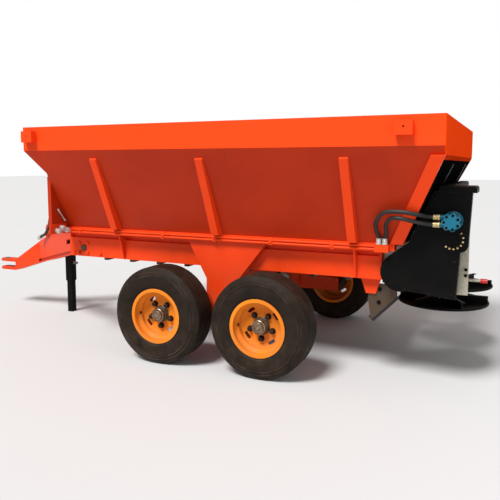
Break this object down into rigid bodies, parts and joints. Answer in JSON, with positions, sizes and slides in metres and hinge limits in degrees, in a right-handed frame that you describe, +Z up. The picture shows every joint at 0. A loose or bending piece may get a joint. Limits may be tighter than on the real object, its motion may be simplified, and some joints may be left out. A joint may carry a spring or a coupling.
{
  "type": "towed fertilizer spreader",
  "caption": "Towed spreader with a V hopper on a tandem bogie, slat conveyor floor, sliding rear gate, spinner discs, drawbar with clevis hitch and parking stand.",
  "frame": {"origin": "on the ground under the middle of the machine's length and width", "axes": "+X forward along the drawbar, +Y to the machine's left, +Z up"},
  "size_m": [5.07, 2.31, 1.846],
  "materials": {
    "orange_paint": "gloss",
    "rim_paint": "satin",
    "tyre_rubber": "matte",
    "cast_hub": "satin",
    "black_paint": "gloss",
    "galvanised": "satin",
    "bare_steel": "satin",
    "black_rubber": "matte",
    "motor_blue": "gloss",
    "red_plastic": "gloss"
  },
  "bodies": {
    "chassis": {"walking_beam_left": "orange_paint", "walking_beam_right": "orange_paint", "hanger_left": "orange_paint", "hanger_right": "orange_paint", "frame_left": "orange_paint", "frame_right": "orange_paint", "crossmembers": "orange_paint", "sill_left": "orange_paint", "sill_right": "orange_paint", "drawbar_left": "orange_paint", "drawbar_right": "orange_paint", "hitch_nose": "orange_paint", "hopper_left": "orange_paint", "hopper_right": "orange_paint", "hopper_front": "orange_paint", "hopper_rear_wall": "orange_paint", "ribs_left": "orange_paint", "ribs_right": "orange_paint", "gate_guides": "orange_paint", "oil_pipes": "orange_paint", "hose_holder": "orange_paint", "shaft_bearings": "cast_hub", "conveyor_chain": "cast_hub", "splash_plate": "cast_hub", "stand_sleeve": "black_paint", "chain_guard": "black_paint", "chute_hood": "black_paint", "spinner_beam": "black_paint", "chute_left": "galvanised", "chute_right": "galvanised", "chute_back": "galvanised", "gate_handle": "galvanised", "pivot_pins": "bare_steel", "conveyor_deck": "bare_steel", "conveyor_shafts": "bare_steel", "valve_block": "bare_steel", "splash_flap": "black_rubber", "pressure_hose": "black_rubber", "return_hose": "black_rubber", "feed_hose": "black_rubber", "conveyor_motor": "motor_blue", "spinner_motors": "motor_blue", "handle_grip": "red_plastic"},
    "wheel_front_left": {"tyre_front_left": "tyre_rubber", "rim_front_left": "rim_paint", "hub_front_left": "cast_hub"},
    "wheel_front_right": {"tyre_front_right": "tyre_rubber", "rim_front_right": "rim_paint", "hub_front_right": "cast_hub"},
    "wheel_rear_left": {"tyre_rear_left": "tyre_rubber", "rim_rear_left": "rim_paint", "hub_rear_left": "cast_hub"},
    "wheel_rear_right": {"tyre_rear_right": "tyre_rubber", "rim_rear_right": "rim_paint", "hub_rear_right": "cast_hub"},
    "spinner_left": {"spinner_left": "black_paint"},
    "spinner_right": {"spinner_right": "black_paint"},
    "stand_leg": {"stand_leg": "black_paint"},
    "feed_gate": {"feed_gate": "galvanised"}
  },
  "joints": [
    {"name": "wheel_front_left_spin", "type": "hinge", "parent": "chassis", "child": "wheel_front_left", "pos_m": [-0.1775, 0.93, 0.38], "axis": [0, 1, 0], "continuous": true},
    {"name": "wheel_front_right_spin", "type": "hinge", "parent": "chassis", "child": "wheel_front_right", "pos_m": [-0.1775, -0.93, 0.38], "axis": [0, 1, 0], "continuous": true},
    {"name": "wheel_rear_left_spin", "type": "hinge", "parent": "chassis", "child": "wheel_rear_left", "pos_m": [-1.0325, 0.93, 0.38], "axis": [0, 1, 0], "continuous": true},
    {"name": "wheel_rear_right_spin", "type": "hinge", "parent": "chassis", "child": "wheel_rear_right", "pos_m": [-1.0325, -0.93, 0.38], "axis": [0, 1, 0], "continuous": true},
    {"name": "spinner_left_spin", "type": "hinge", "parent": "chassis", "child": "spinner_left", "pos_m": [-2.215, 0.33, 0.53], "axis": [0, 0, 1], "continuous": true},
    {"name": "spinner_right_spin", "type": "hinge", "parent": "chassis", "child": "spinner_right", "pos_m": [-2.215, -0.33, 0.53], "axis": [0, 0, 1], "continuous": true},
    {"name": "stand_slide", "type": "slide", "parent": "chassis", "child": "stand_leg", "axis": [0, 0, 1], "range_m": [0, 0.25]},
    {"name": "gate_slide", "type": "slide", "parent": "chassis", "child": "feed_gate", "axis": [-0.4381, 0, 0.8989], "range_m": [0, 0.25]}
  ]
}
